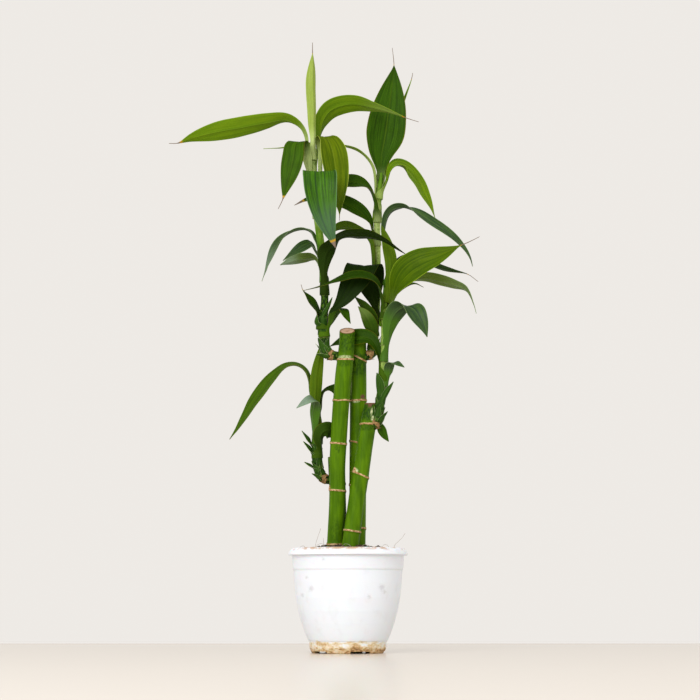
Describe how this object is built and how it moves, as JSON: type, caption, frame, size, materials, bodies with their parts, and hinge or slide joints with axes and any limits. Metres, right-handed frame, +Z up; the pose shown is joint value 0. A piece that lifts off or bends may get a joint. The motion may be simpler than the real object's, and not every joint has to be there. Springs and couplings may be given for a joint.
{
  "type": "potted lucky bamboo",
  "caption": "Potted lucky bamboo: cut green canes with leafy side shoots, standing in soil in a small tapered plastic nursery pot.",
  "frame": {"origin": "centre of the plane that the pot rests on, on the flat middle of its underside", "axes": "+Z up along the pot's axis, +Y to the back of the pictured view, +X to its right"},
  "size_m": [0.2855, 0.1092, 0.5692],
  "materials": {
    "pot_plastic": "smooth white polypropylene, slightly stained",
    "soil": "dark peat and bark potting mix",
    "cane": "smooth living green bark with tan node rings",
    "shoot": "smooth living green stem",
    "leaf_dark": "waxy dark green leaf",
    "leaf_bright": "waxy bright green leaf",
    "leaf_young": "young yellow-green leaf, slightly translucent"
  },
  "bodies": {
    "root": {"pot": "pot_plastic", "soil": "soil", "cane_a": "cane", "cane_b": "cane", "cane_c": "cane", "cane_d": "cane", "shoot_a": "shoot", "shoot_b": "shoot", "shoot_c": "shoot", "shoot_d": "shoot", "leaf_a_long_left": "leaf_bright", "leaf_a_arch_right": "leaf_bright", "leaf_a_hang_left": "leaf_dark", "leaf_a_front_hang": "leaf_dark", "leaf_a_yellow_right": "leaf_young", "leaf_a_dark_arch": "leaf_dark", "leaf_a_light_left": "leaf_dark", "leaf_a_dark_left": "leaf_dark", "leaf_a_narrow_left": "leaf_dark", "leaf_a_low_left": "leaf_dark", "leaf_a_low_right": "leaf_dark", "leaf_a_spear": "leaf_young", "leaf_b_big_top": "leaf_dark", "leaf_b_narrow_back": "leaf_bright", "leaf_b_right": "leaf_bright", "leaf_b_thin_left": "leaf_bright", "leaf_b_dark_left": "leaf_dark", "leaf_b_low_left": "leaf_dark", "leaf_b_arch_left": "leaf_dark", "leaf_b_folded": "leaf_dark", "leaf_b_erect_back": "leaf_dark", "leaf_b_erect_front": "leaf_dark", "leaf_c_erect": "leaf_bright", "leaf_c_big_right": "leaf_bright", "leaf_c_long_arch": "leaf_dark", "leaf_c_dark_right": "leaf_dark", "leaf_c_grey_right": "leaf_dark", "leaf_c_small_right": "leaf_dark", "leaf_c_hang_right": "leaf_dark", "leaf_c_thin_left": "leaf_dark", "leaf_c_over_cane": "leaf_dark", "leaf_c_small_grey": "leaf_dark", "leaf_d_erect": "leaf_bright", "leaf_d_long_left": "leaf_dark", "leaf_d_small_grey": "leaf_dark", "leaf_d_right_high": "leaf_dark", "leaf_d_right_low": "leaf_dark"}
  },
  "joints": []
}
